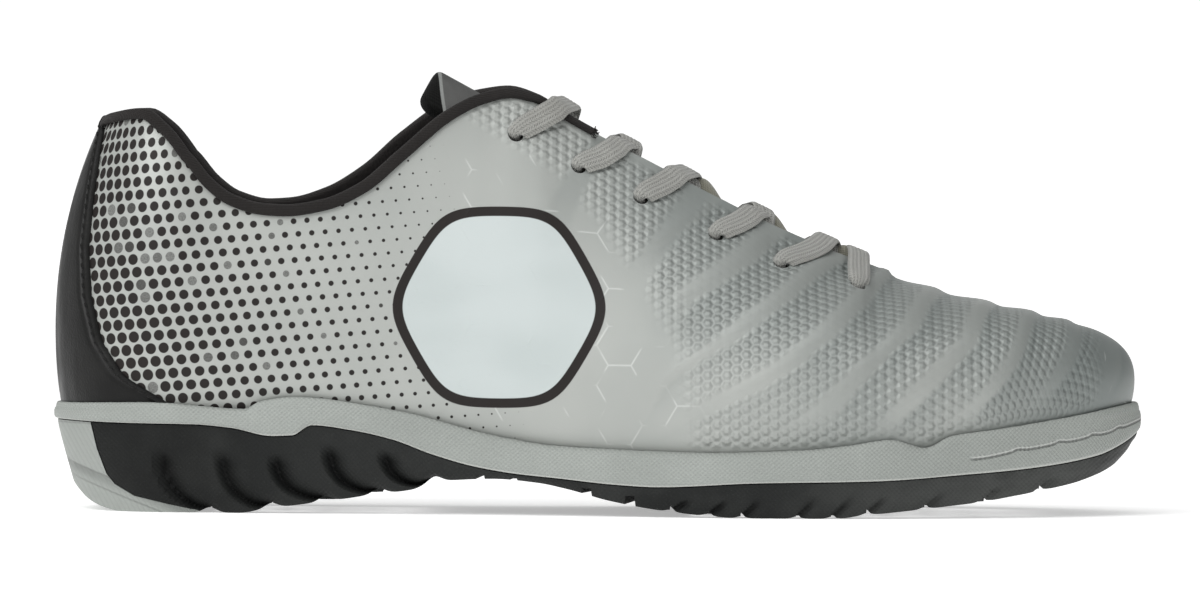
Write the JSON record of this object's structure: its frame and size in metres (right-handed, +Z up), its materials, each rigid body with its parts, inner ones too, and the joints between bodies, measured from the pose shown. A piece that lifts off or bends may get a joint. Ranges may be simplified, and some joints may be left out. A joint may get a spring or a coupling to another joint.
{
  "type": "turf soccer shoe",
  "caption": "Low turf soccer shoe for the right foot: silver synthetic upper, flat laces, grey cup sole and black studded rubber tread.",
  "frame": {"origin": "middle of the bounding box at ground level, under the sole", "axes": "+X to the toe, +Y to the inner side of the right foot, +Z up; the shoe stands on its sole"},
  "size_m": [0.2904, 0.1036, 0.1165],
  "materials": {
    "black_rubber": "matt moulded rubber",
    "grey_rubber": "matt moulded rubber with a fine cross-hatch",
    "insole_cloth": "dark knitted lining",
    "silver_skin": "coated synthetic with a soft metallic sheen",
    "black_leather": "smooth coated leather",
    "black_tape": "woven tape",
    "tongue_cloth": "padded cloth",
    "lace_cord": "flat woven lace"
  },
  "bodies": {
    "root": {"outsole": "black_rubber", "heel_clip": "grey_rubber", "midsole": "grey_rubber", "insole": "insole_cloth", "upper": "silver_skin", "heel_counter": "black_leather", "collar_binding": "black_tape", "tongue": "tongue_cloth", "lace_crossing_1": "lace_cord", "lace_crossing_2": "lace_cord", "lace_crossing_3": "lace_cord", "lace_crossing_4": "lace_cord", "lace_crossing_5": "lace_cord", "lace_bar": "lace_cord"}
  },
  "joints": []
}
